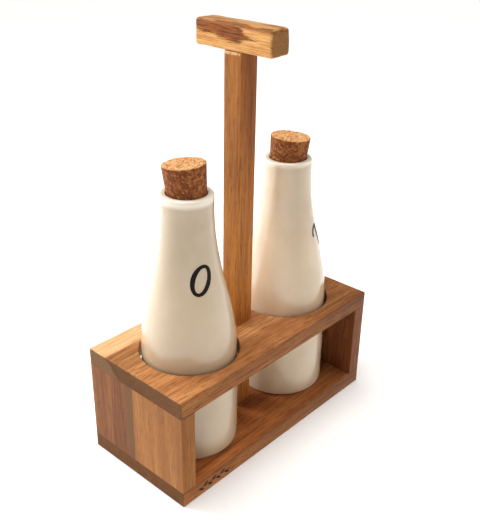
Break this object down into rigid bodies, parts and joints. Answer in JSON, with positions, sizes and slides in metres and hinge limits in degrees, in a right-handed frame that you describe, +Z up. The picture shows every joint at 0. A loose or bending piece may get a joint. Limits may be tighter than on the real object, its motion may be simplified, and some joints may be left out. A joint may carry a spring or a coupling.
{
  "type": "cruet set",
  "caption": "Wooden carrier with a centre post and cross handle, holding round-shouldered ceramic bottles closed by tapered cork stoppers.",
  "frame": {"origin": "centre of the underside of the base board", "axes": "+Z up along the post, +X along the carrier to its right end, -Y towards the open front"},
  "size_m": [0.2, 0.092, 0.2965],
  "materials": {
    "base_wood": "oiled acacia, satin",
    "top_wood": "oiled acacia with a pale sapwood edge, satin",
    "light_stave": "oiled acacia, light stave, satin",
    "dark_stave": "oiled acacia, dark streaked stave, satin",
    "post_wood": "oiled acacia, straight grain, satin",
    "handle_wood": "oiled acacia, figured, satin",
    "dowel_wood": "beech dowel",
    "screw_steel": "zinc-plated steel",
    "glaze": "glossy off-white glaze",
    "cork": "agglomerated cork, matt"
  },
  "bodies": {
    "carrier": {"base_board": "base_wood", "top_board": "top_wood", "left_end_front_stave": "light_stave", "left_end_back_stave": "dark_stave", "right_end_front_stave": "light_stave", "right_end_back_stave": "dark_stave", "centre_post": "post_wood", "handle_bar": "handle_wood", "handle_dowel": "dowel_wood", "top_dowels": "dowel_wood", "base_screws": "screw_steel"},
    "left_bottle": {"left_bottle": "glaze"},
    "right_bottle": {"right_bottle": "glaze"},
    "left_stopper": {"left_stopper": "cork"},
    "right_stopper": {"right_stopper": "cork"}
  },
  "joints": [
    {"name": "left_bottle_lift", "type": "slide", "parent": "carrier", "child": "left_bottle", "axis": [0, 0, 1], "range_m": [0, 0.09]},
    {"name": "right_bottle_lift", "type": "slide", "parent": "carrier", "child": "right_bottle", "axis": [0, 0, 1], "range_m": [0, 0.09]},
    {"name": "left_stopper_pull", "type": "slide", "parent": "left_bottle", "child": "left_stopper", "axis": [0, 0, 1], "range_m": [0, 0.03]},
    {"name": "right_stopper_pull", "type": "slide", "parent": "right_bottle", "child": "right_stopper", "axis": [0, 0, 1], "range_m": [0, 0.03]}
  ]
}
